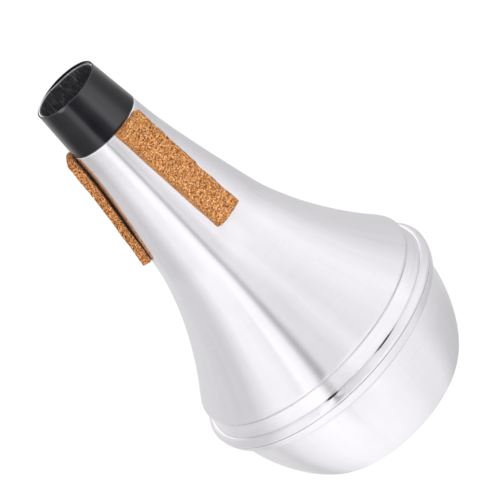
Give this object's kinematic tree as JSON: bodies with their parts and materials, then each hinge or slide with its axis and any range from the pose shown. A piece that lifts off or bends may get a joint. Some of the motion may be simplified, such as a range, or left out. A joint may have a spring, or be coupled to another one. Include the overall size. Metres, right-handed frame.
{
  "type": "trumpet straight mute",
  "caption": "Hollow flared cone of spun aluminium closed by a spun bowl at the wide end, with a sleeved open neck and cork strips that hold it inside a trumpet's bell.",
  "frame": {"origin": "centre of the flat bottom of the bowl, on the surface that the mute stands on", "axes": "+Z along the axis of the mute towards its open neck, -Y towards the front, +X to the right of the front"},
  "size_m": [0.107, 0.107, 0.1787],
  "materials": {
    "spun_aluminium": "bright satin, fine turning lines round the axis",
    "spun_aluminium_bowl": "bright satin, fine turning lines round the axis",
    "black_sleeve_plastic": "satin black soft plastic",
    "black_lining_plastic": "dull black, finely ribbed",
    "seal_rubber": "dull black",
    "cork": "raw granulated cork, open grain",
    "cork_glue": "dried dark brown contact cement"
  },
  "bodies": {
    "root": {"body_shell": "spun_aluminium", "bottom_bowl": "spun_aluminium_bowl", "neck_sleeve": "black_sleeve_plastic", "neck_liner": "black_lining_plastic", "seam_seal": "seal_rubber", "cork_strip_front": "cork", "cork_strip_left": "cork", "cork_strip_back": "cork", "cork_glue_front": "cork_glue", "cork_glue_left": "cork_glue", "cork_glue_back": "cork_glue"}
  },
  "joints": []
}
